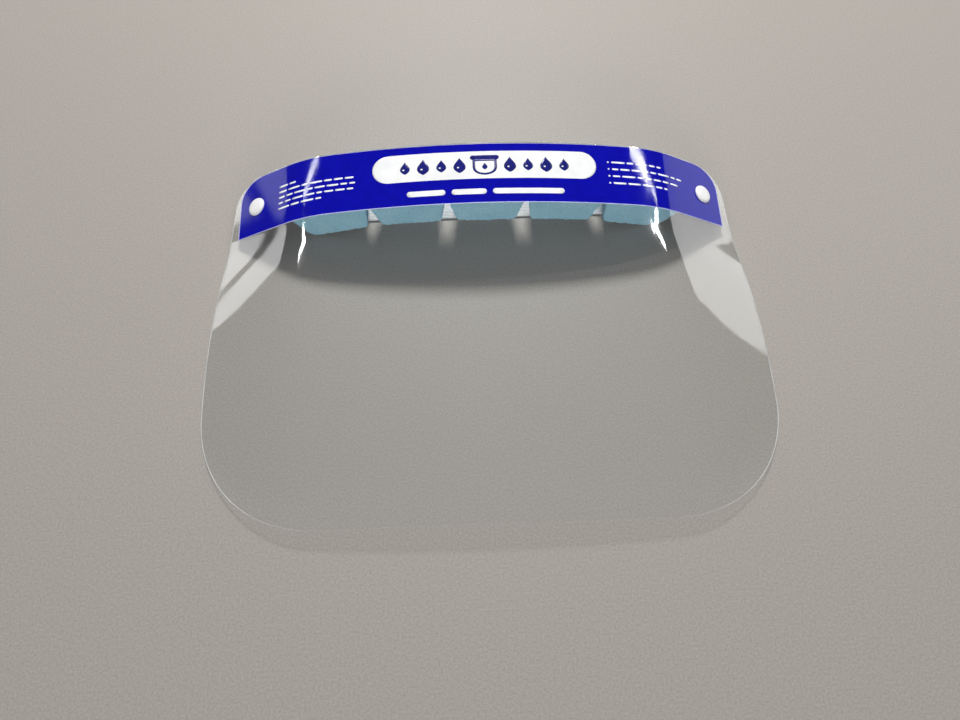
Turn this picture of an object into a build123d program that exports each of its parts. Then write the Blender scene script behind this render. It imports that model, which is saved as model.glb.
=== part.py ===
"""Disposable face shield: clear film, printed band, notched foam pad, elastic strap, snap rivets.

Everything is drawn in the film's own frame and laid on the table at the end.
Film frame: x runs across the shield, y runs up the film (top edge at 0, bottom edge at
-FILM_HEIGHT) and z points out of the shield's front. The crown line is x = z = 0.
Across the film, u is the distance from the crown measured along the bent sheet and
depth is the distance behind its front face.
"""
import os
from math import cos, degrees, radians, sin, sqrt, tan

from build123d import *

# ---- film -------------------------------------------------------------------------------
FILM_HEIGHT = 220.0       # top edge to bottom edge, along the sheet
FILM_HALF_TOP = 155.0     # half width along the sheet at the top edge
FILM_HALF_MAX = 160.0     # half width along the sheet where it is widest
WIDEST_AT = 80.0          # distance of the widest line below the top edge
FILM_T = 0.3              # sheet thickness
TOP_CORNER_R = 20.0
BOTTOM_CORNER_X = 66.0    # half axes of the oval bottom corners
BOTTOM_CORNER_Y = 62.0

# ---- how the sheet is bent --------------------------------------------------------------
CROWN_R = 549.0           # gentle arch over the forehead
CROWN_END = 89.0          # u where the gentle arch ends
BEND_R = 82.0             # tighter bend at each end of the foam
BEND_END = 117.5          # u where the flat wing starts
TILT = 9.0                # degrees the crown line falls toward the bottom edge
EASE = 8.0                # half length of the change from constant bend to wings on the table

# ---- printed band -----------------------------------------------------------------------
BAND_TOP = 1.0
BAND_BOTTOM = 41.0
BAND_HALF = 153.0
BAND_T = 0.12
BAND_CORNER_R = 15.0

# ---- foam pad and its tape --------------------------------------------------------------
FOAM_LEFT, FOAM_RIGHT = -118.0, 122.5   # its ends along the sheet; stuck a little off centre
FOAM_TOP = 8.0            # far side, distance below the film's top edge
FOAM_BOTTOM = 36.0        # near side
FOAM_T = 26.0
FOAM_FACE_HALF = 115.7    # u where the forehead face ends, just clear of the table
END_DEPTHS = (22.5, 19.5)    # depth of the left and right end faces, bevelled from there on
FOAM_CORNER = 2.5         # rounding of the blocks' outer corners
TAPE_T = 0.2
TAPE_MARGIN = 2.0
NOTCH_MIDDLE = 2.6        # u about which the notches are spread
NOTCH_PITCH = 46.5        # four notches make five blocks
NOTCH_COUNT = 4
NOTCH_HALF = 4.8          # half width of a notch at the forehead side
NOTCH_TOP_HALF = 0.4      # half width at its blind end
NOTCH_WEB = 3.0           # foam left uncut next to the tape

# ---- elastic strap ----------------------------------------------------------------------
STRAP_WIDTH = 15.0
STRAP_T = 1.0
STRAP_GAP = 0.3           # air round the strap
STRAP_MID_AT = 18.3       # strap centre line between the rivets, distance below the top edge
STRAP_DROP = 39.9         # drawn straight under the pad, this far below the crown, by the table
STRAP_BEND_X = 108.0      # where it starts to rise to the rivets, past the pad's end blocks
STRAP_OUT_U = 132.5       # u where the strap leaves the film
STRAP_TAB = 14.0          # length of each end lying flat on the film

# ---- snap rivets ------------------------------------------------------------------------
RIVET_U = 139.5
RIVET_AT = 22.0           # distance below the top edge
HEAD_R = 5.8
HEAD_T = 1.7
POST_R = 1.8
HOLE_R = 2.1
SOCKET_R = 4.8
SOCKET_T = 2.4
SOCKET_FLOOR = 0.8        # plastic left behind the post's tip

FOAM_BACK = FILM_T + TAPE_T           # depth of the foam's glued face
FOAM_FACE = FOAM_BACK + FOAM_T        # depth of the forehead face
STRAP_END_DEPTH = FILM_T + STRAP_GAP + STRAP_T / 2
SOCKET_FACE = FILM_T + 2 * STRAP_GAP + STRAP_T


# ---- the bent sheet ---------------------------------------------------------------------
def film_half(down):
    """Half width along the sheet at a distance down from the top edge."""
    flare = (FILM_HALF_MAX - FILM_HALF_TOP) / WIDEST_AT**2
    return FILM_HALF_MAX - flare * (down - WIDEST_AT) ** 2


def bend_point(u, depth=0.0, flatten=1.0):
    """(x, z) of a point of the bent sheet; flatten scales every curvature."""
    side = -1 if u < 0 else 1
    x, drop, slope, at = 0.0, 0.0, 0.0, 0.0
    for radius, end in ((CROWN_R, CROWN_END), (BEND_R, BEND_END)):
        length = min(abs(u), end) - at
        if length > 0:
            r = radius / flatten
            turned = slope + length / r
            x += r * (sin(turned) - sin(slope))
            drop += r * (cos(slope) - cos(turned))
            slope = turned
            at = end
    straight = max(abs(u) - BEND_END, 0.0)
    x += straight * cos(slope)
    drop += straight * sin(slope)
    return side * (x - depth * sin(slope)), -drop - depth * cos(slope)


def wing_slope():
    """Slope of the flat wings in the band zone, in radians."""
    return CROWN_END / CROWN_R + (BEND_END - CROWN_END) / BEND_R


def wing_drop(down, flatten=1.0):
    """How far the film's side edge lies below its crown line, square to the film."""
    return -bend_point(film_half(down), FILM_T, flatten)[1]


TIP_DROP = wing_drop(BAND_BOTTOM)
CROWN_Z = TIP_DROP * cos(radians(TILT)) + (BAND_BOTTOM + EASE) * sin(radians(TILT))


def flatten_at(down):
    """Curvature factor that lets the side edges settle onto the table below the band."""
    past = down - BAND_BOTTOM
    if past <= 0:
        return 1.0
    fall = tan(radians(TILT))
    if past < 2 * EASE:
        wanted = TIP_DROP - fall * past**2 / (4 * EASE)
    else:
        wanted = TIP_DROP - fall * (past - EASE)
    low, high = 0.0, 1.2
    for _ in range(40):
        middle = (low + high) / 2
        if wing_drop(down, max(middle, 1e-6)) > wanted:
            high = middle
        else:
            low = middle
    return middle


def on_section(u, depth, flatten=1.0):
    """A point of the section in the film frame, on the plane y = 0."""
    x, z = bend_point(u, depth, flatten)
    return Vector(x, 0, z)


def sheet_path(start, end, depth, flatten=1.0):
    """Edges that follow the bent sheet from u = start to u = end at one depth."""
    forward = end > start
    inside = [s for s in (-BEND_END, -CROWN_END, CROWN_END, BEND_END)
              if min(start, end) < s < max(start, end)]
    stops = [start, *(inside if forward else reversed(inside)), end]
    edges = []
    for a, b in zip(stops, stops[1:]):
        ends = on_section(a, depth, flatten), on_section(b, depth, flatten)
        if abs(a + b) / 2 > BEND_END:
            edges.append(Edge.make_line(*ends))
        else:
            middle = on_section((a + b) / 2, depth, flatten)
            edges.append(Edge.make_three_point_arc(ends[0], middle, ends[1]))
    return edges


def sheet_face(left, right, front, back, flatten=1.0):
    """Section of a layer that follows the sheet, between two u and two depths."""
    corners = [on_section(u, d, flatten) for u, d in
               ((right, front), (right, back), (left, back), (left, front))]
    edges = sheet_path(left, right, front, flatten)
    edges.append(Edge.make_line(corners[0], corners[1]))
    edges += sheet_path(right, left, back, flatten)
    edges.append(Edge.make_line(corners[2], corners[3]))
    return Face(Wire(edges))


def run_down(face, top, bottom):
    """Extrude a section down the film, between two distances from the top edge."""
    return extrude(Pos(0, -top, 0) * face, amount=bottom - top, dir=(0, -1, 0))


def plan_prism(edges, reach=80.0):
    """Solid that stands square to the film's crown on an outline in x and y."""
    return extrude(Pos(0, 0, -reach) * Face(Wire(edges)), amount=2 * reach, dir=(0, 0, 1))


# ---- sub-parts --------------------------------------------------------------------------
def film_outline():
    """Outline seen along the crown's normal: bowed sides, round top and oval bottom corners."""
    corner_at = FILM_HEIGHT - BOTTOM_CORNER_Y

    def side_x(down):
        return bend_point(film_half(down), 0, flatten_at(down))[0]

    top_x = side_x(0)
    shoulder = (side_x(TOP_CORNER_R), -TOP_CORNER_R)
    low = (side_x(corner_at), -corner_at)
    foot_x = low[0] - BOTTOM_CORNER_X
    diagonal = sqrt(0.5)
    side_stops = [shoulder] + [(side_x(d), -d) for d in (50, 80, 110, 135)] + [low]
    side_end = Vector(side_x(corner_at + 1) - side_x(corner_at - 1), -2)
    right = [
        Edge.make_line((0, 0), (top_x - TOP_CORNER_R, 0)),
        Edge.make_three_point_arc(
            (top_x - TOP_CORNER_R, 0),
            (top_x - TOP_CORNER_R * (1 - diagonal), -TOP_CORNER_R * (1 - diagonal)),
            shoulder),
        Edge.make_spline([Vector(*p) for p in side_stops], tangents=[Vector(0, -1), side_end]),
        Edge.make_spline(
            [Vector(*low),
             Vector(foot_x + BOTTOM_CORNER_X * diagonal, low[1] - BOTTOM_CORNER_Y * diagonal),
             Vector(foot_x, -FILM_HEIGHT)],
            tangents=[side_end, Vector(-1, 0)]),
        Edge.make_line((foot_x, -FILM_HEIGHT), (0, -FILM_HEIGHT)),
    ]
    left = [edge.mirror(Plane.YZ) for edge in right]
    return right + left


def rivet_place(side):
    """Location on the wing at the rivet, z pointing out of the front face."""
    x, z = bend_point(side * RIVET_U)
    return Pos(x, -RIVET_AT, z) * Rot(0, side * degrees(wing_slope()), 0)


def rivet_holes(radius):
    return [rivet_place(side) * Cylinder(radius, 20) for side in (-1, 1)]


def make_film():
    reach = FILM_HALF_MAX + 3
    stations = (BAND_BOTTOM, 45, 49, 53, 57, 63, 71, 85, 105, 130, 160, 190, FILM_HEIGHT)
    upper = run_down(sheet_face(-reach, reach, 0, FILM_T), 0, BAND_BOTTOM)
    sections = [Pos(0, -d, 0) * sheet_face(-reach, reach, 0, FILM_T, flatten_at(d))
                for d in stations]
    blank = upper + loft(sections)
    return (blank & plan_prism(film_outline())) - rivet_holes(HOLE_R)


def make_band():
    """Printed band stuck on the front of the film."""
    half_x = bend_point(BAND_HALF)[0]
    layer = run_down(sheet_face(-BAND_HALF, BAND_HALF, -BAND_T, 0), BAND_TOP, BAND_BOTTOM)
    height = BAND_BOTTOM - BAND_TOP
    outline = Pos(0, -BAND_TOP - height / 2) * Rectangle(2 * half_x, height)
    upper_corners = outline.vertices().sort_by(Axis.Y)[-2:]
    outline = fillet(upper_corners, BAND_CORNER_R)
    return (layer & extrude(Pos(0, 0, -80) * outline, 160, dir=(0, 0, 1))) - rivet_holes(HOLE_R)


def make_tape():
    face = sheet_face(FOAM_LEFT + TAPE_MARGIN, FOAM_RIGHT - TAPE_MARGIN, FILM_T, FOAM_BACK)
    return run_down(face, FOAM_TOP + TAPE_MARGIN, FOAM_BOTTOM - TAPE_MARGIN)


def notch_centres():
    return [NOTCH_MIDDLE + (i - (NOTCH_COUNT - 1) / 2) * NOTCH_PITCH for i in range(NOTCH_COUNT)]


def block_ends():
    """u of both ends of every block at the forehead face."""
    inner = [n + e for n in notch_centres() for e in (-NOTCH_HALF, NOTCH_HALF)]
    ends = [-FOAM_FACE_HALF, *inner, FOAM_FACE_HALF]
    return list(zip(ends[::2], ends[1::2]))


def block_corners():
    """Outer corners of the pad's section, right to left, the bevelled ends included."""
    faces = [on_section(u, FOAM_FACE) for ends in block_ends() for u in ends][::-1]
    return [on_section(FOAM_RIGHT, END_DEPTHS[1]), *faces, on_section(FOAM_LEFT, END_DEPTHS[0])]


def foam_face():
    """Foam section: curved against the film, five flat blocks toward the forehead."""
    outer = block_corners()
    points = [on_section(FOAM_RIGHT, FOAM_BACK), *outer[:3]]
    for i, centre in enumerate(reversed(notch_centres())):
        points += [on_section(centre + NOTCH_TOP_HALF, FOAM_BACK + NOTCH_WEB),
                   on_section(centre - NOTCH_TOP_HALF, FOAM_BACK + NOTCH_WEB),
                   *outer[3 + 2 * i:5 + 2 * i]]
    points += [outer[-1], on_section(FOAM_LEFT, FOAM_BACK)]
    edges = sheet_path(FOAM_LEFT, FOAM_RIGHT, FOAM_BACK)
    edges += [Edge.make_line(a, b) for a, b in zip(points, points[1:])]
    return Face(Wire(edges))


def strap_route():
    """Strap centre line in the section: straight under the pad, then up to both rivets."""
    right = [Vector(STRAP_BEND_X, 0, -STRAP_DROP),
             *(on_section(u, STRAP_END_DEPTH) for u in (STRAP_OUT_U, STRAP_OUT_U + STRAP_TAB))]
    return [Vector(-p.X, 0, p.Z) for p in reversed(right)] + right


def mitres(path):
    """At every point of a path in the section, the sideways step that keeps its thickness even."""
    across = [(q - p).normalized().rotate(Axis.Y, 90) for p, q in zip(path, path[1:])]
    pairs = zip([across[0], *across], [*across, across[-1]])
    return [(a + b) / (1 + a.dot(b)) for a, b in pairs]


def strap_layer():
    """The strap's route thickened and run well down the film, before it is trimmed to width."""
    path = strap_route()
    steps = [step * (STRAP_T / 2) for step in mitres(path)]
    upper = [p + step for p, step in zip(path, steps)]
    lower = [p - step for p, step in zip(path, steps)]
    return run_down(make_face(Polyline(*upper, *reversed(lower), close=True)), 0, FOAM_BOTTOM + 5)


def strap_trim():
    """Plan of the strap: straight under the foam, stepping over to the rivets at both ends."""
    half = STRAP_WIDTH / 2
    out_x = bend_point(STRAP_OUT_U)[0]
    end_x = bend_point(STRAP_OUT_U + STRAP_TAB)[0]
    stops = [(0, STRAP_MID_AT), (STRAP_BEND_X, STRAP_MID_AT), (out_x, RIVET_AT), (end_x, RIVET_AT)]
    near = [(x, -at - half) for x, at in stops]
    far = [(x, -at + half) for x, at in stops]
    right = near + far[::-1]
    outline = right + [(-x, y) for x, y in far[1:]] + [(-x, y) for x, y in near[:0:-1]]
    return extrude(Pos(0, 0, -80) * make_face(Polyline(*outline, close=True)), 160, dir=(0, 0, 1))


def make_foam():
    pad = run_down(foam_face(), FOAM_TOP, FOAM_BOTTOM)
    corners = block_corners()
    outer_edges = [e for e in pad.edges().filter_by(Axis.Y)
                   if min((e.center() - c - Vector(0, e.center().Y, 0)).length for c in corners) < 0.01]
    return fillet(outer_edges, FOAM_CORNER)


def make_strap():
    return (strap_layer() & strap_trim()) - rivet_holes(POST_R + STRAP_GAP)


def make_snap_head(side):
    """Low domed cap outside the band with a post through the film and the strap's end."""
    dome_r = (HEAD_R**2 + (HEAD_T - 0.6) ** 2) / (2 * (HEAD_T - 0.6))
    rim = Pos(0, 0, BAND_T + HEAD_T / 2) * Cylinder(HEAD_R, HEAD_T)
    cap = rim & Pos(0, 0, BAND_T + HEAD_T - dome_r) * Sphere(dome_r)
    tip = -(SOCKET_FACE + SOCKET_T - SOCKET_FLOOR)
    post = Pos(0, 0, (BAND_T + tip) / 2) * Cylinder(POST_R, BAND_T - tip)
    return rivet_place(side) * (cap + post)


def make_snap_socket(side):
    """Ring-shaped back half, closed behind the tip of the post."""
    body = Pos(0, 0, -SOCKET_FACE - SOCKET_T / 2) * Cylinder(SOCKET_R, SOCKET_T)
    body = chamfer(body.edges().group_by(Axis.Z)[0], 0.5)
    depth = SOCKET_T - SOCKET_FLOOR
    bore = Pos(0, 0, -SOCKET_FACE - depth / 2) * Cylinder(POST_R + 0.1, depth)
    return rivet_place(side) * (body - bore)


# ---- assembly ---------------------------------------------------------------------------
def build():
    """All sub-parts, laid on the table with the origin under the middle of the bounding box."""
    parts = {
        "visor_film": make_film(),
        "header_label": make_band(),
        "foam_tape": make_tape(),
        "forehead_foam": make_foam(),
        "head_strap": make_strap(),
        "snap_head_left": make_snap_head(-1),
        "snap_socket_left": make_snap_socket(-1),
        "snap_head_right": make_snap_head(1),
        "snap_socket_right": make_snap_socket(1),
    }
    parts = {name: Rot(TILT, 0, 0) * shape for name, shape in parts.items()}
    boxes = [shape.bounding_box() for shape in parts.values()]
    low, high = [Vector(*(pick(getattr(getattr(b, end), axis) for b in boxes) for axis in "XYZ"))
                 for pick, end in ((min, "min"), (max, "max"))]
    lift = Pos(-(low.X + high.X) / 2, -(low.Y + high.Y) / 2, -low.Z)
    return {name: lift * shape for name, shape in parts.items()}


os.makedirs("parts", exist_ok=True)
for node, shape in build().items():
    export_step(shape, f"parts/{node}.step")
    solids = shape.solids()
    print(node, len(solids), "solid(s)", round(sum(s.volume for s in solids)), "mm3")
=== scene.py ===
"""Looks of the disposable face shield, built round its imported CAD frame.

Pieces that follow the bent film are drawn in sheet coordinates, all in metres:
u runs across the film from its crown line, down runs from the top edge toward the
bottom edge, and depth is the distance behind the film's front face.
"""

import math

import bmesh
import bpy
import numpy as np
from mathutils import Matrix, Vector


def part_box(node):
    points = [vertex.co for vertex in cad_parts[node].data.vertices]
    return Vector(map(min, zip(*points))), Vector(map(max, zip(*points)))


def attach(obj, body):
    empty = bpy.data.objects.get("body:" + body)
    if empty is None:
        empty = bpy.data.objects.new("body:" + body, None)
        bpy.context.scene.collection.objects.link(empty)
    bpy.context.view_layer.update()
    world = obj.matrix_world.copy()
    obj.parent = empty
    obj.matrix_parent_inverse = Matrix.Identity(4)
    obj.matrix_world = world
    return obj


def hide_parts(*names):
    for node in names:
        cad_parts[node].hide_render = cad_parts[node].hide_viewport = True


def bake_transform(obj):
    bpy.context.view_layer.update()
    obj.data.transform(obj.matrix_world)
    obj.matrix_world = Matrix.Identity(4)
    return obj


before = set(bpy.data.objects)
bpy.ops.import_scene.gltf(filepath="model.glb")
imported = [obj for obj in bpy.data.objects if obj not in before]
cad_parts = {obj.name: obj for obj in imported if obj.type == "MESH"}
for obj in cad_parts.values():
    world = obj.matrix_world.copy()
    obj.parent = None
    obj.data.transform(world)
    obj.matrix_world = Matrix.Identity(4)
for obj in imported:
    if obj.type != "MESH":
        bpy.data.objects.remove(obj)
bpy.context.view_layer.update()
MM = 0.001

# ---- the bent sheet, as in the CAD ------------------------------------------------------
FILM_HEIGHT = 220 * MM
FILM_HALF_TOP = 155 * MM
FILM_HALF_MAX = 160 * MM
WIDEST_AT = 80 * MM
FILM_T = 0.3 * MM
TOP_CORNER_R = 20 * MM
BOTTOM_CORNER = (66 * MM, 62 * MM)
BENDS = ((549 * MM, 89 * MM), (82 * MM, 117.5 * MM))   # (radius, u where it ends)
TILT = math.radians(9)
BAND_TOP, BAND_BOTTOM, BAND_HALF = 1 * MM, 41 * MM, 153 * MM
BAND_T, BAND_CORNER_R = 0.12 * MM, 15 * MM
EASE = 8 * MM                           # way over which the curvature starts to fall
WING_SLOPE = BENDS[0][1] / BENDS[0][0] + (BENDS[1][1] - BENDS[0][1]) / BENDS[1][0]
WAVE, CRIMP = 0.09 * MM, 0.006 * MM     # height of the sheet's slow and fine waviness

# ---- pad, strap and rivets --------------------------------------------------------------
FOAM_LEFT, FOAM_RIGHT = -118 * MM, 122.5 * MM
FOAM_TOP, FOAM_BOTTOM, FOAM_T = 8 * MM, 36 * MM, 26 * MM
FOAM_FACE_HALF = 115.7 * MM
END_DEPTHS = (22.5 * MM, 19.5 * MM)    # left and right end faces, bevelled from there on
TAPE_T = 0.2 * MM
FOAM_BACK = FILM_T + TAPE_T
FOAM_FACE = FOAM_BACK + FOAM_T
NOTCH_AT = [(2.6 + n * 46.5) * MM for n in (-1.5, -0.5, 0.5, 1.5)]
NOTCH_HALF, NOTCH_TOP_HALF, NOTCH_WEB = 4.8 * MM, 0.4 * MM, 3 * MM
FOAM_CORNER = 2.5 * MM
STRAP_WIDTH, STRAP_T, STRAP_GAP = 15 * MM, 1 * MM, 0.3 * MM
RIB_COUNT, RIB_RISE = 14, 0.2 * MM      # ribs across the strap, and their relief
STITCH = 0.7592 * MM                    # length of a stitch along the strap
STRAP_MID_AT = 18.3 * MM
STRAP_DROP = 39.9 * MM                  # drawn straight under the pad, this far below the crown
STRAP_BEND_X = 108 * MM                 # where it starts to rise to the rivets
STRAP_OUT_U, STRAP_TAB = 132.5 * MM, 14 * MM
STRAP_END_DEPTH = FILM_T + STRAP_GAP + STRAP_T / 2
STRAP_MIDDLE = 34 * MM                 # half length of the middle that moves as one
RIVET_U, RIVET_AT = 139.5 * MM, 22 * MM
HEAD = {"radius": 5.8 * MM, "height": 1.7 * MM, "post": 1.8 * MM, "gap": 0.04 * MM}
SOCKET = {"radius": 4.8 * MM, "height": 2.4 * MM, "floor": 0.8 * MM, "play": 0.1 * MM}

film_low, film_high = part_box("visor_film")
LIFT_Z = film_high.z
LIFT_Y = film_low.y + FILM_HEIGHT * math.cos(TILT)


# ---- sheet coordinates ------------------------------------------------------------------
def film_half(down):
    flare = (FILM_HALF_MAX - FILM_HALF_TOP) / WIDEST_AT**2
    return FILM_HALF_MAX - flare * (down - WIDEST_AT) ** 2


def bend(u, depth=0.0, flatten=1.0):
    """x and z in the film's frame; every argument may be an array."""
    u, flatten = np.asarray(u, float), np.asarray(flatten, float)
    side, run = np.sign(u), np.abs(u)
    x = drop = slope = 0.0
    at = 0.0
    for radius, end in BENDS:
        r = radius / flatten
        turned = slope + (np.clip(run, at, end) - at) / r
        x = x + r * (np.sin(turned) - np.sin(slope))
        drop = drop + r * (np.cos(slope) - np.cos(turned))
        slope, at = turned, end
    straight = np.maximum(run - at, 0)
    x = x + straight * np.cos(slope)
    drop = drop + straight * np.sin(slope)
    return side * (x - depth * np.sin(slope)), -drop - depth * np.cos(slope)


def wing_drop(down, flatten=1.0):
    return -bend(film_half(down), FILM_T, flatten)[1]


def flatten_at(down):
    """Curvature factor that lets the side edges settle on the floor below the band."""
    down = np.asarray(down, float)
    fall = math.tan(TILT)
    past = np.maximum(down - BAND_BOTTOM, 0)
    wanted = wing_drop(BAND_BOTTOM) - fall * np.where(
        past < 2 * EASE, past**2 / (4 * EASE), past - EASE)
    low, high = np.full(down.shape, 1e-6), np.full(down.shape, 1.2)
    for _ in range(40):
        middle = (low + high) / 2
        over = wing_drop(down, middle) > wanted
        high, low = np.where(over, middle, high), np.where(over, low, middle)
    return np.where(past > 0, (low + high) / 2, 1.0)


def lay(x, down, z):
    """Film frame to the row frame."""
    x, down, z = np.broadcast_arrays(x, down, z)
    y = -down
    return np.stack([x, y * math.cos(TILT) - z * math.sin(TILT) + LIFT_Y,
                     y * math.sin(TILT) + z * math.cos(TILT) + LIFT_Z], -1)


def ripple(u, down):
    """Slight waviness of the thin sheet, dying out at its edges and under the band."""
    free = np.clip((down - BAND_BOTTOM) / (35 * MM), 0, 1) ** 2
    edge = np.clip(1 - (np.abs(u) / FILM_HALF_MAX) ** 4, 0, 1)
    wave = (np.sin(u / (19 * MM) + down / (31 * MM))
            + 0.7 * np.sin(u / (43 * MM) - down / (23 * MM) + 1.3))
    near = np.clip((down - BAND_BOTTOM) / (10 * MM), 0, 1)
    crimp = (np.sin(u / (2.1 * MM) + 2 * np.sin(down / (6 * MM)))
             * np.sin(down / (3.4 * MM) + u / (11 * MM)))
    return edge * (WAVE * free * wave + CRIMP * near * crimp)


def sheet(u, down, depth=0.0):
    """A point of a layer that follows the sheet, in the row frame."""
    x, z = bend(u, depth + ripple(u, down), flatten_at(down))
    return lay(x, down, z)


def section(u, depth):
    """(x, z) in the band zone, where the bend is the same all the way down."""
    x, z = bend(u, depth)
    return float(x), float(z)


def u_at(x, down):
    """u of the point of the sheet at a distance x from the middle."""
    table = np.linspace(0, FILM_HALF_MAX + 4 * MM, 700)
    flat = flatten_at(down)
    return np.array([np.interp(xi, bend(table, 0, fi)[0], table)
                     for xi, fi in zip(np.atleast_1d(x), np.atleast_1d(flat))])


# ---- mesh helpers -----------------------------------------------------------------------
def make_object(name, verts, faces, materials, face_mats=None, smooth=True):
    mesh = bpy.data.meshes.new(name)
    mesh.from_pydata([tuple(v) for v in verts], [], [tuple(f) for f in faces])
    mesh.update()
    obj = bpy.data.objects.new(name, mesh)
    bpy.context.scene.collection.objects.link(obj)
    for mat in materials:
        mesh.materials.append(mat)
    if face_mats is not None:
        mesh.polygons.foreach_set("material_index", np.asarray(face_mats, np.int32))
    mesh.polygons.foreach_set("use_smooth", np.full(len(mesh.polygons), smooth))
    return obj


def set_uv(obj, coords):
    """Writes one UV per vertex, here the sheet's own (u, down) in metres."""
    layer = obj.data.uv_layers.new(name="Sheet")
    loops = np.zeros(len(obj.data.loops), np.int32)
    obj.data.loops.foreach_get("vertex_index", loops)
    layer.data.foreach_set("uv", np.asarray(coords, np.float32)[loops].ravel())


def slab(name, us, downs, front, back, materials, border=None, smooth=True):
    """Closed layer between two depths on a grid of sheet coordinates.

    us has one row of u per value of downs. border, where given, is the material number
    of the outermost ring of cells and of the rim."""
    rows, cols = us.shape
    grid = np.repeat(downs[:, None], cols, 1)
    top, bottom = sheet(us, grid, front), sheet(us, grid, back)
    verts = np.concatenate([top.reshape(-1, 3), bottom.reshape(-1, 3)])
    index = np.arange(rows * cols).reshape(rows, cols)
    under = index + rows * cols
    faces, mats = [], []
    for r in range(rows - 1):
        for c in range(cols - 1):
            ring = r in (0, rows - 2) or c in (0, cols - 2)
            mat = border if ring and border is not None else 0
            faces.append((index[r, c], index[r + 1, c], index[r + 1, c + 1], index[r, c + 1]))
            faces.append((under[r, c], under[r, c + 1], under[r + 1, c + 1], under[r + 1, c]))
            mats += [mat, mat]
    loop = [*index[0, :], *index[1:, -1], *index[-1, -2::-1], *index[-2:0:-1, 0]]
    for a, b in zip(loop, loop[1:] + loop[:1]):
        faces.append((a, b, b + rows * cols, a + rows * cols))
        mats.append(border or 0)
    obj = make_object(name, verts, faces, materials, mats, smooth)
    flat = np.stack([us.ravel(), grid.ravel()], 1)
    set_uv(obj, np.concatenate([flat, flat]))
    for edge_loop in (loop, [i + rows * cols for i in loop]):
        mark_sharp(obj, edge_loop)
    return obj


def face_outward(obj, weld=0.0):
    """Joins vertices nearer than weld, and turns every face outward."""
    bm = bmesh.new()
    bm.from_mesh(obj.data)
    if weld:
        bmesh.ops.remove_doubles(bm, verts=bm.verts, dist=weld)
    bmesh.ops.recalc_face_normals(bm, faces=bm.faces)
    bm.to_mesh(obj.data)
    bm.free()


def mark_sharp(obj, loop):
    """Keeps a closed loop of edges crisp."""
    pairs = {frozenset(p) for p in zip(loop, loop[1:] + loop[:1])}
    for edge in obj.data.edges:
        if frozenset(edge.vertices) in pairs:
            edge.use_edge_sharp = True


def spread(half, count, rim):
    """Symmetric column positions with one narrow column at each side."""
    inner = np.linspace(-1, 1, count)[None, :] * (half - rim)[:, None]
    return np.concatenate([-half[:, None], inner, half[:, None]], 1)


# ---- materials --------------------------------------------------------------------------
def material(name):
    mat = bpy.data.materials.new(name)
    mat.use_nodes = True
    nodes = mat.node_tree.nodes
    nodes.clear()
    out = nodes.new("ShaderNodeOutputMaterial")
    return mat, mat.node_tree, out


def node(tree, kind, **values):
    made = tree.nodes.new(kind)
    for key, value in values.items():
        if hasattr(made, key):
            setattr(made, key, value)
        else:
            made.inputs[key.replace("_", " ")].default_value = value
    return made


def principled(tree, out, **values):
    shader = node(tree, "ShaderNodeBsdfPrincipled")
    for key, value in values.items():
        shader.inputs[key.replace("_", " ")].default_value = value
    tree.links.new(shader.outputs[0], out.inputs["Surface"])
    return shader


def noise(tree, scale, detail=3.0):
    """Noise over object coordinates, in features per metre."""
    where = node(tree, "ShaderNodeTexCoord")
    made = node(tree, "ShaderNodeTexNoise")
    made.inputs["Scale"].default_value = scale
    made.inputs["Detail"].default_value = detail
    tree.links.new(where.outputs["Object"], made.inputs["Vector"])
    return made.outputs["Fac"]


def ramp(tree, value, low, high, at=(0.3, 0.7)):
    """Colour or grey between low and high, over a stretch of value."""
    made = node(tree, "ShaderNodeValToRGB")
    for stop, place, colour in zip(made.color_ramp.elements, at, (low, high)):
        stop.position = place
        stop.color = (*colour, 1) if len(colour) == 3 else colour
    tree.links.new(value, made.inputs["Fac"])
    return made.outputs["Color"]


def bump(tree, target, height, distance, strength=1.0):
    """Relief on the normal of a shader, or of another bump."""
    made = node(tree, "ShaderNodeBump")
    made.inputs["Distance"].default_value = distance
    made.inputs["Strength"].default_value = strength
    tree.links.new(height, made.inputs["Height"])
    tree.links.new(made.outputs[0], target.inputs["Normal"])
    return made


def wave_scale(period):
    """Scale that gives a wave texture this period, in metres."""
    return 2 * math.pi / (20 * period)


def grey(value):
    return (value, value, value)


HEAD_ON_MIRROR = 0.06                   # share of light the film mirrors, seen head on


def clear_film():
    """Clear PET: nearly all light passes, and a mirror share that grows at low angles."""
    mat, tree, out = material("clear_film")
    passing = node(tree, "ShaderNodeBsdfTransparent")
    passing.inputs["Color"].default_value = (0.99, 0.994, 0.993, 1)
    gloss = node(tree, "ShaderNodeBsdfGlossy")
    gloss.inputs["Color"].default_value = (1, 1, 1, 1)
    smear = noise(tree, 45, 4)
    tree.links.new(ramp(tree, smear, grey(0.02), grey(0.07)), gloss.inputs["Roughness"])
    facing = node(tree, "ShaderNodeLayerWeight")
    facing.inputs["Blend"].default_value = 0.5
    power = node(tree, "ShaderNodeMath", operation="POWER")
    power.inputs[1].default_value = 5.0
    tree.links.new(facing.outputs["Facing"], power.inputs[0])
    share = node(tree, "ShaderNodeMath", operation="MULTIPLY_ADD")
    share.inputs[1].default_value = 1 - HEAD_ON_MIRROR
    share.inputs[2].default_value = HEAD_ON_MIRROR
    tree.links.new(power.outputs[0], share.inputs[0])
    mix = node(tree, "ShaderNodeMixShader")
    tree.links.new(share.outputs[0], mix.inputs[0])
    tree.links.new(passing.outputs[0], mix.inputs[1])
    tree.links.new(gloss.outputs[0], mix.inputs[2])
    tree.links.new(mix.outputs[0], out.inputs["Surface"])
    return mat


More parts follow.
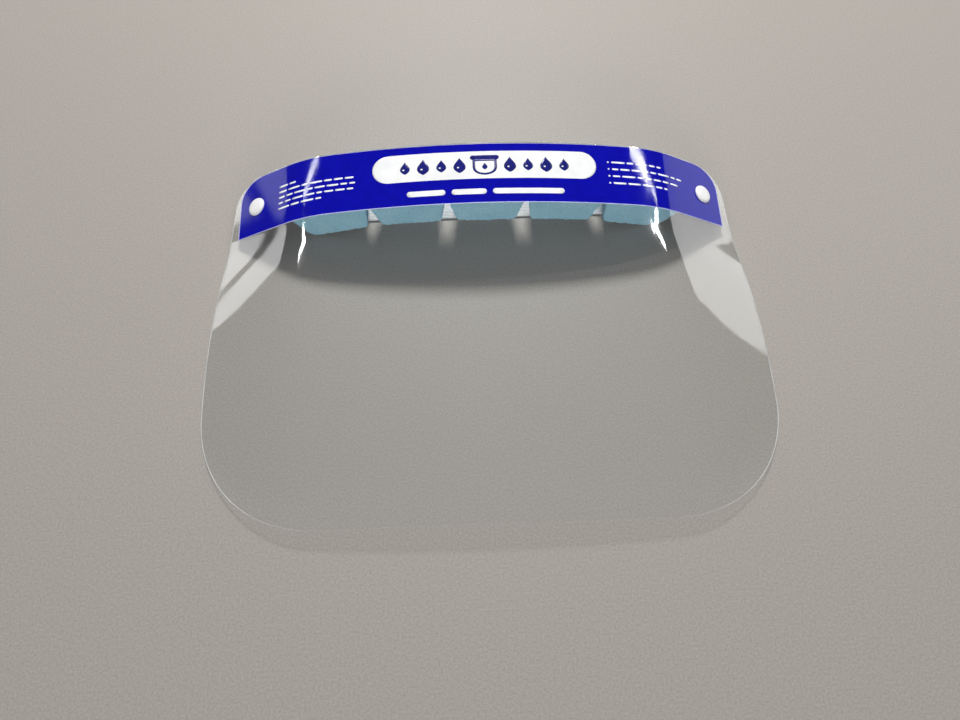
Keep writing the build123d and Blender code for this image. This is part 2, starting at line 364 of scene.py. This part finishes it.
def film_edge_glint():
    """Cut edge of the sheet, painted pale and half opaque: a painted highlight for the light the
    edge gathers.
    """
    mat, tree, out = material("film_cut_edge_glint")
    shader = principled(tree, out, Roughness=0.25, Alpha=0.5)
    tone = noise(tree, 60, 2)
    tree.links.new(ramp(tree, tone, (0.62, 0.66, 0.68), (0.92, 0.93, 0.94)),
                   shader.inputs["Base Color"])
    return mat


def printed(name, low, high, roughness=0.03, level=0.4):
    """Glossy printed film with a trace of ink mottle and fine orange peel."""
    mat, tree, out = material(name)
    shader = principled(tree, out, Specular_IOR_Level=level)
    tree.links.new(ramp(tree, noise(tree, 160, 4), low, high), shader.inputs["Base Color"])
    tree.links.new(ramp(tree, noise(tree, 70, 3), grey(roughness), grey(roughness + 0.05)),
                   shader.inputs["Roughness"])
    bump(tree, shader, noise(tree, 1100, 2), 0.00001, 0.8)
    return mat


def foam_material():
    """Open-cell foam: fine pores darkened by painted shade, soft sheen, slightly uneven blue."""
    mat, tree, out = material("blue_foam")
    shader = principled(tree, out, Roughness=0.95, Specular_IOR_Level=0.15, Sheen_Weight=0.08,
                        Sheen_Roughness=0.6, Subsurface_Weight=0.12, Subsurface_Scale=0.003)
    shader.inputs["Subsurface Radius"].default_value = (0.6, 1.0, 1.2)
    where = node(tree, "ShaderNodeTexCoord")
    cells = node(tree, "ShaderNodeTexVoronoi")
    cells.inputs["Scale"].default_value = 1000
    tree.links.new(where.outputs["Object"], cells.inputs["Vector"])
    # painted shade: the base colour drops to 0.55 in the pits where the pores are
    pore_shade = ramp(tree, cells.outputs["Distance"], grey(0.55), grey(1.0), (0.1, 0.55))
    patches = ramp(tree, noise(tree, 55, 5), (0.31, 0.64, 0.82), (0.41, 0.74, 0.90))
    tint = node(tree, "ShaderNodeMix", data_type="RGBA", blend_type="MULTIPLY")
    tint.inputs["Factor"].default_value = 0.5
    tree.links.new(patches, tint.inputs["A"])
    tree.links.new(pore_shade, tint.inputs["B"])
    tree.links.new(tint.outputs["Result"], shader.inputs["Base Color"])
    pits = bump(tree, shader, cells.outputs["Distance"], 0.0004, 0.7)
    bump(tree, pits, noise(tree, 420, 3), 0.0009, 0.55)
    return mat


def elastic_material():
    """White knitted elastic: columns of fine stitches along the ribs, with painted shade between
    the stitches and in the valleys between the ribs.
    """
    mat, tree, out = material("white_elastic")
    shader = principled(tree, out, Roughness=0.85, Sheen_Weight=0.3, Sheen_Roughness=0.5,
                        Subsurface_Weight=0.35, Subsurface_Scale=0.0012)
    where = node(tree, "ShaderNodeTexCoord")
    stitch = node(tree, "ShaderNodeTexWave", wave_type="BANDS", bands_direction="X")
    stitch.inputs["Scale"].default_value = wave_scale(STITCH)
    stitch.inputs["Distortion"].default_value = 1.2
    stitch.inputs["Detail Scale"].default_value = 2.0
    tree.links.new(where.outputs["UV"], stitch.inputs["Vector"])
    # painted shade: the colour darkens between the stitches
    stitch_shade = ramp(tree, stitch.outputs["Fac"], (0.66, 0.67, 0.69), (0.86, 0.86, 0.87), (0.0, 0.6))
    ribs = node(tree, "ShaderNodeTexWave", wave_type="BANDS", bands_direction="Y")
    ribs.inputs["Scale"].default_value = wave_scale(STRAP_WIDTH / RIB_COUNT)
    ribs.inputs["Phase Offset"].default_value = math.pi
    tree.links.new(where.outputs["UV"], ribs.inputs["Vector"])
    tint = node(tree, "ShaderNodeMix", data_type="RGBA", blend_type="MULTIPLY")
    tint.inputs["Factor"].default_value = 1.0
    tree.links.new(stitch_shade, tint.inputs["A"])
    # painted shade: the colour darkens in the valleys between the ribs
    rib_valley_shade = ramp(tree, ribs.outputs["Fac"], grey(0.60), grey(1.0), (0.0, 0.55))
    tree.links.new(rib_valley_shade, tint.inputs["B"])
    tree.links.new(tint.outputs["Result"], shader.inputs["Base Color"])
    bump(tree, shader, stitch.outputs["Fac"], 0.00012, 0.8)
    return mat


def plastic_material(name, low, high, roughness):
    """Moulded plastic with a faint satin grain."""
    mat, tree, out = material(name)
    shader = principled(tree, out, Coat_Weight=0.15, Coat_Roughness=0.2)
    tree.links.new(ramp(tree, noise(tree, 220, 3), low, high), shader.inputs["Base Color"])
    tree.links.new(ramp(tree, noise(tree, 350, 3), grey(roughness), grey(roughness + 0.12)),
                   shader.inputs["Roughness"])
    bump(tree, shader, noise(tree, 1600, 2), 0.00003, 0.4)
    return mat


CLEAR, CUT_EDGE_GLINT = clear_film(), film_edge_glint()
BLUE = printed("band_blue", (0.0006, 0.0008, 0.30), (0.0010, 0.0014, 0.36), 0.02, 0.2)
BAND_RIM = printed("band_rim", (0.45, 0.45, 0.80), (0.55, 0.55, 0.86), 0.3)
INK_WHITE = printed("ink_white", (0.80, 0.81, 0.82), (0.88, 0.885, 0.89), 0.08)
INK_NAVY = printed("ink_navy", (0.004, 0.006, 0.13), (0.007, 0.01, 0.17), 0.08)
FOAM, ELASTIC = foam_material(), elastic_material()
SNAP = plastic_material("snap_white", (0.84, 0.84, 0.84), (0.91, 0.91, 0.91), 0.34)
TAPE = plastic_material("tape_white", (0.66, 0.69, 0.7), (0.76, 0.78, 0.79), 0.7)


# ---- clear film -------------------------------------------------------------------------
def side_x(down):
    return bend(film_half(down), 0, flatten_at(down))[0]


def film_rows():
    """Distances down and half widths x of the outline, closer together at the corners."""
    turn = np.linspace(0, math.pi / 2, 16)
    shoulder = side_x(TOP_CORNER_R)
    rows = [(TOP_CORNER_R * (1 - math.cos(a)), shoulder - TOP_CORNER_R * (1 - math.sin(a)))
            for a in turn]
    rows.insert(1, (0.4 * MM, rows[0][1] + 3.9 * MM))      # narrow row for the cut edge
    corner_at = FILM_HEIGHT - BOTTOM_CORNER[1]
    rows += [(d, side_x(d)) for d in np.linspace(TOP_CORNER_R, corner_at, 72)[1:]]
    step = 1 * MM
    slope = (side_x(corner_at + step) - side_x(corner_at - step)) / (2 * step)
    side = np.array([side_x(corner_at), corner_at])
    foot = np.array([side[0] - BOTTOM_CORNER[0], FILM_HEIGHT])
    pull = 0.5523                       # makes a Bezier curve a quarter of an ellipse
    handles = (side, side + np.array([slope, 1]) * pull * BOTTOM_CORNER[1],
               foot + np.array([1, 0]) * pull * BOTTOM_CORNER[0], foot)
    for t in 1 - (1 - np.linspace(0, 1, 46)[1:]) ** 1.6:
        weights = ((1 - t) ** 3, 3 * t * (1 - t) ** 2, 3 * t * t * (1 - t), t**3)
        x, down = sum(w * p for w, p in zip(weights, handles))
        rows.append((down, x))
    return np.array(rows, float).T


def build_film():
    downs, half_x = film_rows()
    half = u_at(half_x, downs)
    us = spread(half, 191, 0.3 * MM)
    # the outer ring of cells and the rim take the pale edge material, a painted highlight
    film = slab("visor_film_sheet", us, downs, 0.0, FILM_T, [CLEAR, CUT_EDGE_GLINT], border=1)
    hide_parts("visor_film")
    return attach(film, "visor")


# ---- printed band and its generic print -------------------------------------------------
PRINT_LIFT = 0.03 * MM
PRINT_T = 0.02 * MM


def build_band():
    """Blue band with rounded upper corners and a thin pale cut edge."""
    turn = np.linspace(0, math.pi / 2, 14)
    half_x = bend(BAND_HALF)[0]
    rows = [(BAND_TOP + BAND_CORNER_R * (1 - math.cos(a)),
             half_x - BAND_CORNER_R * (1 - math.sin(a))) for a in turn]
    straight = np.linspace(BAND_TOP + BAND_CORNER_R, BAND_BOTTOM - 0.4 * MM, 14)[1:]
    rows += [(d, half_x) for d in straight]
    rows.append((BAND_BOTTOM, half_x))
    downs, half_x = np.array(rows, float).T
    us = spread(u_at(half_x, downs), 181, 0.6 * MM)
    band = slab("header_band", us, downs, -BAND_T, -0.01 * MM, [BLUE, BAND_RIM], border=1)
    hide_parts("header_label")
    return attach(band, "visor")


def print_patch(name, shapes, ink, level=0):
    """One layer of print; a shape is (centre u, downs, half widths, number of columns)."""
    verts, faces = [], []
    depth = -BAND_T - PRINT_LIFT * (level + 1)
    for centre, downs, halves, cols in shapes:
        us = centre + np.linspace(-1, 1, cols)[None, :] * halves[:, None]
        grid = np.repeat(downs[:, None], cols, 1)
        start = len(verts)
        verts += list(sheet(us, grid, depth).reshape(-1, 3))
        index = start + np.arange(us.size).reshape(us.shape)
        faces += [(index[r, c], index[r + 1, c], index[r + 1, c + 1], index[r, c + 1])
                  for r in range(len(downs) - 1) for c in range(cols - 1)]
    obj = make_object(name, verts, faces, [ink])
    thick = obj.modifiers.new("ink", "SOLIDIFY")
    thick.thickness = PRINT_T
    thick.offset = -1
    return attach(obj, "visor")


def pill(left, right, middle, height):
    """A bar with round ends between two u positions, centred at a distance down."""
    radius = height / 2
    angle = np.linspace(-math.pi / 2, math.pi / 2, 13)
    half = (right - left) / 2 - radius + radius * np.cos(angle)
    cols = max(4, int((right - left) / (2.5 * MM)))
    return ((left + right) / 2, middle + radius * np.sin(angle), half, cols)


def droplet(centre, middle, height):
    """A drop with its point toward the top edge."""
    t = np.linspace(0, 1, 22)
    width = 0.36 * height * np.sin(math.pi * t) ** 0.9 * (0.35 + 1.05 * t)
    width[0] = width[-1] = 0.02 * MM
    return (centre, middle + (t - 0.5) * height, width, 7)


def pane(centre, top, height, width):
    """A visor's pane: straight sides and a rounded lower end."""
    t = np.linspace(0, 1, 22)
    half = width / 2 * np.sqrt(np.clip(1 - np.clip((t - 0.45) / 0.55, 0, 1) ** 2.6, 0.02, 1))
    return (centre, top + t * height, half, 11)


PANEL = {"left": -63 * MM, "right": 67 * MM, "down": 15.6 * MM, "height": 18.6 * MM}
DROPS = ((14.5, 10.5), (25, 8.5), (35.5, 10.5), (46, 8.5))     # (from the centre, height)
CAPTION = {"down": 33.4 * MM, "height": 3.6 * MM, "runs": ((-43, -21), (-17.5, 2.5), (6, 47))}
LEFT_NOTE = {"start": -122.5, "first": 14.4, "pitch": 3.75, "ends": (-109, -74, -70, -73.5, -90)}
RIGHT_NOTE = {"start": 76.5, "first": 12.6, "pitch": 4.75, "ends": (108, 126, 119.5, 111)}
NOTE_HEIGHT = 1.15 * MM


def dashes(start, end, middle, height, seed):
    """A row of short bars with small gaps, of uneven length, in place of a line of words."""
    rng = np.random.default_rng(seed)
    at, bars = start * MM, []
    while at < end * MM - 2 * MM:
        length = min(rng.uniform(3.2, 8.5) * MM, end * MM - at)
        bars.append(pill(at, at + length, middle, height))
        at += length + 1.1 * MM
    return bars


def build_print():
    """White panel with droplets and a visor, and plain bars where such bands have words."""
    centre = (PANEL["left"] + PANEL["right"]) / 2
    radius = PANEL["height"] / 2
    angle = np.linspace(-math.pi / 2, math.pi / 2, 41)
    half = (PANEL["right"] - PANEL["left"]) / 2 - radius + radius * np.cos(angle)
    panel = (centre, PANEL["down"] + radius * np.sin(angle), half, 90)
    print_patch("print_panel", [panel], INK_WHITE)

    drops = [(centre + side * step * MM, height * MM) for step, height in DROPS for side in (-1, 1)]
    brow = PANEL["down"] - 5 * MM
    marks = [droplet(at, PANEL["down"], height) for at, height in drops]
    marks += [pill(centre - 8.4 * MM, centre + 8.4 * MM, brow, 3 * MM),
              pane(centre, brow + 1.2 * MM, 10.6 * MM, 14 * MM)]
    print_patch("print_marks", marks, INK_NAVY, 1)
    lights = [pill(at - 1.5 * MM, at - 0.3 * MM, PANEL["down"] + height * 0.14, 0.9 * MM)
              for at, height in drops]
    lights.append(pane(centre, brow + 2.6 * MM, 8 * MM, 11.2 * MM))
    print_patch("print_mark_lights", lights, INK_WHITE, 2)
    print_patch("print_mark_drop", [droplet(centre, brow + 6 * MM, 4.6 * MM)], INK_NAVY, 3)

    white = [pill(a * MM, b * MM, CAPTION["down"], CAPTION["height"]) for a, b in CAPTION["runs"]]
    for seed, note in enumerate((LEFT_NOTE, RIGHT_NOTE)):
        for i, end in enumerate(note["ends"]):
            down = (note["first"] + i * note["pitch"]) * MM
            white += dashes(note["start"], end, down, NOTE_HEIGHT, 10 * seed + i)
            if note is RIGHT_NOTE:
                dot = note["start"] - 2.6
                white.append(pill(dot * MM, (dot + 1.1) * MM, down, 1.1 * MM))
    print_patch("print_bars", white, INK_WHITE)


# ---- foam pad ---------------------------------------------------------------------------
def block_ends():
    """u of both ends of every block at the forehead face, left to right."""
    inner = [n + e for n in NOTCH_AT for e in (-NOTCH_HALF, NOTCH_HALF)]
    return [-FOAM_FACE_HALF, *inner, FOAM_FACE_HALF]


def outer_corners():
    """Outer corners of the pad's section, right to left, the bevelled ends included."""
    faces = [section(u, FOAM_FACE) for u in reversed(block_ends())]
    return [section(FOAM_RIGHT, END_DEPTHS[1]), *faces, section(FOAM_LEFT, END_DEPTHS[0])]


def foam_outline():
    """Points of the notched section, (x, z), with rounded outer corners."""
    outer = [(True, p) for p in outer_corners()]
    loop = [(False, section(FOAM_RIGHT, FOAM_BACK)), *outer[:3]]
    for i, centre in enumerate(reversed(NOTCH_AT)):
        loop += [(False, section(centre + NOTCH_TOP_HALF, FOAM_BACK + NOTCH_WEB)),
                 (False, section(centre - NOTCH_TOP_HALF, FOAM_BACK + NOTCH_WEB)),
                 *outer[3 + 2 * i:5 + 2 * i]]
    loop += [outer[-1], (False, section(FOAM_LEFT, FOAM_BACK))]
    points = []
    for i, (is_round, here) in enumerate(loop):
        here = np.array(here)
        if not is_round:
            points.append(here)
            continue
        before, after = np.array(loop[i - 1][1]), np.array(loop[i + 1][1])
        a = here + (before - here) / np.linalg.norm(before - here) * FOAM_CORNER
        b = here + (after - here) / np.linalg.norm(after - here) * FOAM_CORNER
        for t in np.linspace(0, 1, 6):
            points.append((1 - t) ** 2 * a + 2 * t * (1 - t) * here + t**2 * b)
    glued = np.linspace(FOAM_LEFT, FOAM_RIGHT, 90)[1:-1]
    return points + [np.array(section(u, FOAM_BACK)) for u in glued]


VOXEL = 0.85 * MM
SWELL = 0.10 * MM                      # how far the near and far sides bulge
GRAIN = 0.05 * MM                      # unevenness of the cut skin, away from the tape
CLEAR_OF_TABLE = 0.05 * MM


def build_foam():
    """The pad as one soft solid: five blocks with soft corners and an open, uneven skin."""
    outline = foam_outline()
    count = len(outline)
    verts = [(p[0], -down, p[1]) for down in (FOAM_TOP, FOAM_BOTTOM) for p in outline]
    faces = [tuple(range(count)), tuple(range(2 * count - 1, count - 1, -1))]
    faces += [(i, i + count, (i + 1) % count + count, (i + 1) % count) for i in range(count)]
    pad = make_object("forehead_pad", verts, faces, [FOAM])
    face_outward(pad)
    apply_modifier(pad, "REMESH", mode="VOXEL", voxel_size=VOXEL)
    apply_modifier(pad, "SMOOTH", factor=0.5, iterations=5)
    co = np.zeros(len(pad.data.vertices) * 3)
    pad.data.vertices.foreach_get("co", co)
    co = co.reshape(-1, 3)
    outer_x, outer_z = np.array(outer_corners()[::-1]).T
    above = co[:, 2] - np.interp(co[:, 0], outer_x, outer_z)
    rng = np.random.default_rng(4)
    wave = sum(np.sin(co @ rng.normal(0, 1 / (9 * MM), 3) + rng.uniform(0, 6.3)) for _ in range(6))
    swell = SWELL * wave * np.clip((FOAM_T - above) / (4 * MM), 0, 1)
    co[:, 1] += swell * np.sign(co[:, 1] + (FOAM_TOP + FOAM_BOTTOM) / 2)
    normals = np.zeros(co.size)
    pad.data.vertex_normals.foreach_get("vector", normals)
    grain = sum(np.sin(co @ rng.normal(0, 1.6 / MM, 3) + rng.uniform(0, 6.3)) for _ in range(10))
    free = np.clip((FOAM_T - 1 * MM - above) / (3 * MM), 0, 1)
    co += normals.reshape(-1, 3) * (GRAIN * grain * free)[:, None]
    placed = lay(co[:, 0], -co[:, 1], co[:, 2])
    placed[:, 2] = np.maximum(placed[:, 2], CLEAR_OF_TABLE)
    pad.data.vertices.foreach_set("co", placed.ravel())
    pad.data.polygons.foreach_set("use_smooth", np.full(len(pad.data.polygons), True))
    pad.data.update()
    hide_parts("forehead_foam")
    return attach(pad, "visor")


def apply_modifier(obj, kind, **settings):
    modifier = obj.modifiers.new(kind.lower(), kind)
    for key, value in settings.items():
        setattr(modifier, key, value)
    bpy.context.view_layer.objects.active = obj
    with bpy.context.temp_override(object=obj, active_object=obj):
        bpy.ops.object.modifier_apply(modifier=modifier.name)


# ---- elastic strap ----------------------------------------------------------------------
ACROSS = 8 * RIB_COUNT                  # cells across the strap, eight to a rib


def strap_line():
    """Centre line in the section as dense (x, z) points, rounded where it bends."""
    tab = [section(u, STRAP_END_DEPTH) for u in (STRAP_OUT_U, STRAP_OUT_U + STRAP_TAB)]
    right = [(STRAP_BEND_X, -STRAP_DROP), *tab]
    route = np.array([(-x, z) for x, z in reversed(right)] + right)
    run = np.concatenate([[0], np.cumsum(np.linalg.norm(np.diff(route, axis=0), axis=1))])
    fine = np.linspace(0, run[-1], 401)
    line = np.stack([np.interp(fine, run, route[:, k]) for k in (0, 1)], 1)
    for _ in range(14):
        line[1:-1] = 0.25 * line[:-2] + 0.5 * line[1:-1] + 0.25 * line[2:]
    return line


def strap_down(x):
    """Where the strap's middle line runs: straight under the pad, stepping to the rivets."""
    out_x = section(STRAP_OUT_U, 0)[0]
    t = np.clip((np.abs(x) - STRAP_BEND_X) / (out_x - STRAP_BEND_X), 0, 1)
    return STRAP_MID_AT + (RIVET_AT - STRAP_MID_AT) * t * t * (3 - 2 * t)


def strap_piece(name, line):
    """Ribbed band along the line, closed at both ends."""
    along = np.gradient(line, axis=0)
    along /= np.linalg.norm(along, axis=1)[:, None]
    out = np.stack([along[:, 1], -along[:, 0]], 1)
    out *= np.where(out[:, 1:] > 0, -1, 1)
    run = np.concatenate([[0], np.cumsum(np.linalg.norm(np.diff(line, axis=0), axis=1))])
    v = np.linspace(-1, 1, ACROSS + 1)
    rib = RIB_RISE * (np.abs(np.cos(v * math.pi * RIB_COUNT / 2)) - 0.5)
    edge = 1 - np.clip((np.abs(v) - 0.97) / 0.03, 0, 1) ** 2 * 0.6
    thick = (STRAP_T / 2 - RIB_RISE / 2) * edge + rib
    centre = strap_down(line[:, 0])
    rows = []
    for side in (1, -1):
        x = line[:, 0, None] + side * out[:, 0, None] * thick[None, :]
        z = line[:, 1, None] + side * out[:, 1, None] * thick[None, :]
        down = centre[:, None] + v[None, :] * STRAP_WIDTH / 2
        rows.append(lay(x, down, z))
    n, m = rows[0].shape[:2]
    verts = np.concatenate([r.reshape(-1, 3) for r in rows])
    index = np.arange(n * m).reshape(n, m)
    under = index + n * m
    faces = []
    for i in range(n - 1):
        for j in range(m - 1):
            faces.append((index[i, j], index[i + 1, j], index[i + 1, j + 1], index[i, j + 1]))
            faces.append((under[i, j], under[i, j + 1], under[i + 1, j + 1], under[i + 1, j]))
        faces.append((index[i, 0], under[i, 0], under[i + 1, 0], index[i + 1, 0]))
        faces.append((index[i, -1], index[i + 1, -1], under[i + 1, -1], under[i, -1]))
    for i in (0, n - 1):
        for j in range(m - 1):
            faces.append((index[i, j], index[i, j + 1], under[i, j + 1], under[i, j]))
    strap = make_object(name, verts, faces, [ELASTIC])
    grid = np.broadcast_arrays(run[:, None], v[None, :] * STRAP_WIDTH / 2)
    flat = np.stack([part.ravel() for part in grid], 1)
    set_uv(strap, np.concatenate([flat, flat]))
    face_outward(strap)
    for i in (0, n - 1):
        mark_sharp(strap, [*index[i], *under[i, ::-1]])
    return strap


def build_strap():
    line = strap_line()
    x = line[:, 0]
    split_left, split_right = (int(np.argmin(np.abs(x - at)))
                               for at in (-STRAP_MIDDLE, STRAP_MIDDLE))
    middle = strap_piece("strap_middle", line[split_left:split_right + 1])
    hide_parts("head_strap")
    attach(middle, "strap")
    spans = (("strap_left", line[:split_left + 1], -1), ("strap_right", line[split_right:], 1))
    for name, part, side in spans:
        span = strap_piece(name, part)
        held = section(STRAP_OUT_U, STRAP_END_DEPTH)
        start = lay(side * held[0], STRAP_MID_AT, held[1])
        end = lay(side * STRAP_MIDDLE, STRAP_MID_AT, -STRAP_DROP)
        start[1:] = end[1:]
        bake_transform(span)


# ---- snap rivets ------------------------------------------------------------------------
def lathe(name, profile, place, segments=72):
    """Spins a profile of (radius, height) round z and sets it on the wing."""
    verts, faces = [], []
    for k in range(segments):
        a = 2 * math.pi * k / segments
        verts += [(r * math.cos(a), r * math.sin(a), h) for r, h in profile]
    n = len(profile)
    for k in range(segments):
        here, nxt = k * n, (k + 1) % segments * n
        faces += [(here + i, nxt + i, nxt + i + 1, here + i + 1) for i in range(n - 1)]
    obj = make_object(name, verts, faces, [SNAP])
    face_outward(obj, weld=1e-6)
    obj.data.transform(place)
    return obj


def rounded(profile, radius, steps=5):
    """The profile with its inner corners rounded."""
    points = [profile[0]]
    for before, here, after in zip(profile, profile[1:], profile[2:]):
        b, h, a = (np.array(p, float) for p in (before, here, after))
        reach = min(radius, np.linalg.norm(b - h) / 2.01, np.linalg.norm(a - h) / 2.01)
        p = h + (b - h) / np.linalg.norm(b - h) * reach
        q = h + (a - h) / np.linalg.norm(a - h) * reach
        points += [tuple((1 - t) ** 2 * p + 2 * t * (1 - t) * h + t * t * q)
                   for t in np.linspace(0, 1, steps)]
    return points + [profile[-1]]


def build_snaps():
    """Low domed heads outside and ringed sockets inside, one pair at each end."""
    socket_face = FILM_T + 2 * STRAP_GAP + STRAP_T
    post_end = socket_face + SOCKET["height"] - SOCKET["floor"]
    for side, word in ((-1, "left"), (1, "right")):
        x, z = section(side * RIVET_U, 0)
        place = Matrix.Translation(Vector(lay(x, RIVET_AT, z))) @ Matrix.Rotation(TILT, 4, "X") \
            @ Matrix.Rotation(side * WING_SLOPE, 4, "Y")
        base = BAND_T + HEAD["gap"]
        radius, top = HEAD["radius"], BAND_T + HEAD["height"]
        head = [(0, top), (radius * 0.45, top - 0.05 * MM), (radius * 0.8, top - 0.28 * MM),
                (radius * 0.97, top - 0.8 * MM), (radius, base + 0.25 * MM), (radius * 0.985, base),
                (HEAD["post"], base), (HEAD["post"], -post_end), (0, -post_end)]
        cap = lathe(f"snap_cap_{word}", rounded(head, 0.35 * MM), place)
        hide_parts(f"snap_head_{word}")
        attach(cap, "visor")
        outer, near, far = SOCKET["radius"], -socket_face, -socket_face - SOCKET["height"]
        bore = HEAD["post"] + SOCKET["play"]
        ring = [(0, far), (1.4 * MM, far), (1.7 * MM, far + 0.25 * MM), (2.5 * MM, far + 0.25 * MM),
                (2.8 * MM, far), (outer - 0.6 * MM, far), (outer, far + 0.6 * MM), (outer, near),
                (bore, near), (bore, -post_end), (0, -post_end)]
        back = lathe(f"snap_back_{word}", rounded(ring, 0.2 * MM), place)
        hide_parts(f"snap_socket_{word}")
        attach(back, "visor")


build_film()
build_band()
build_print()
build_foam()
build_strap()
build_snaps()
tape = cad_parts["foam_tape"]
tape.data.materials.clear()
tape.data.materials.append(TAPE)


# ---- floor, light and camera ------------------------------------------------------------
FLOOR_HALF, FLOOR_DROP = 2.5, 0.05 * MM


def build_floor():
    mat, tree, out = material("studio_floor")
    shader = principled(tree, out, Roughness=0.5, Specular_IOR_Level=0.2)
    tree.links.new(ramp(tree, noise(tree, 900, 2), (0.30, 0.28, 0.253), (0.37, 0.346, 0.318)),
                   shader.inputs["Base Color"])
    corners = [(x * FLOOR_HALF, y * FLOOR_HALF, 0) for x, y in ((-1, -1), (1, -1), (1, 1), (-1, 1))]
    floor = make_object("studio_floor", corners, [(0, 1, 2, 3)], [mat])
    floor.location.z = -FLOOR_DROP


def soft_box(name, centre, along, size, radiance, colour=(1, 1, 1)):
    """Rectangular lamp facing the object; along is the direction of its long side."""
    light = bpy.data.lights.new(name, "AREA")
    light.shape = "RECTANGLE"
    light.size, light.size_y = size
    light.energy = 4 * size[0] * size[1] * radiance
    light.color = colour
    lamp = bpy.data.objects.new(name, light)
    bpy.context.scene.collection.objects.link(lamp)
    back = (Vector(centre) - Vector((0, 0.06, 0.02))).normalized()
    x_axis = (Vector(along) - back * back.dot(Vector(along))).normalized()
    turn = Matrix((x_axis, back.cross(x_axis), back)).transposed().to_4x4()
    lamp.matrix_world = Matrix.Translation(centre) @ turn
    return lamp


def strip(name, start, end, width, radiance):
    """Long thin lamp between two points."""
    start, end = Vector(start), Vector(end)
    soft_box(name, (start + end) / 2, end - start, ((end - start).length, width), radiance)


def build_light():
    world = bpy.data.worlds.new("studio")
    bpy.context.scene.world = world
    world.use_nodes = True
    tree = world.node_tree
    back = tree.nodes["Background"]
    where = tree.nodes.new("ShaderNodeTexCoord")
    split = tree.nodes.new("ShaderNodeSeparateXYZ")
    tree.links.new(where.outputs["Generated"], split.inputs[0])
    sky = ramp(tree, split.outputs["Z"], (0.136, 0.139, 0.146), (0.29, 0.298, 0.31), (0.1, 1.0))
    tree.links.new(sky, back.inputs["Color"])
    back.inputs["Strength"].default_value = 1.0
    soft_box("key_behind", (0.04, 1.08, 1.16), (1, 0, 0), (0.34, 0.24), 74, (1, 0.985, 0.96))
    fill = soft_box("fill_front", (-0.1, -1.5, 0.38), (1, 0, 0), (1.0, 0.5), 6.8)
    fill.visible_glossy = False         # it would fill the whole film with white from behind
    strip("strip_right", (1.2, 0.957, 1.30), (1.2, 1.14, 1.65), 0.075, 36)
    strip("strip_right_low", (1.2, 0.808, 1.02), (1.2, 0.957, 1.30), 0.022, 36)
    strip("strip_left", (-1.2, 0.877, 1.07), (-1.2, 1.07, 1.41), 0.028, 36)
    soft_box("window_right", (1.2, 0.71, 0.39), (0, 1, 0), (0.28, 0.38), 1.6)
    soft_box("window_left", (-1.2, 0.80, 0.30), (0, 1, -0.45), (0.26, 0.10), 1.9)
    soft_box("window_left_upper", (-1.2, 0.84, 0.43), (0, 1, -0.45), (0.26, 0.08), 1.9)


CAMERA_AT = (-0.0147, -0.230, 0.3692)
CAMERA_YAW, CAMERA_PITCH, CAMERA_ROLL = 2.62, 59.65, 0.36      # degrees
CAMERA_LENS = 29.03


def build_camera():
    data = bpy.data.cameras.new("camera")
    data.sensor_width = 36
    data.lens = CAMERA_LENS
    data.clip_start = 0.01
    camera = bpy.data.objects.new("camera", data)
    bpy.context.scene.collection.objects.link(camera)
    turn = Matrix.Rotation(math.radians(-CAMERA_YAW), 4, "Z") \
        @ Matrix.Rotation(math.radians(90 - CAMERA_PITCH), 4, "X") \
        @ Matrix.Rotation(math.radians(CAMERA_ROLL), 4, "Z")
    camera.matrix_world = Matrix.Translation(CAMERA_AT) @ turn
    bpy.context.scene.camera = camera
    bpy.context.scene.view_settings.view_transform = "Standard"


build_floor()
build_light()
build_camera()
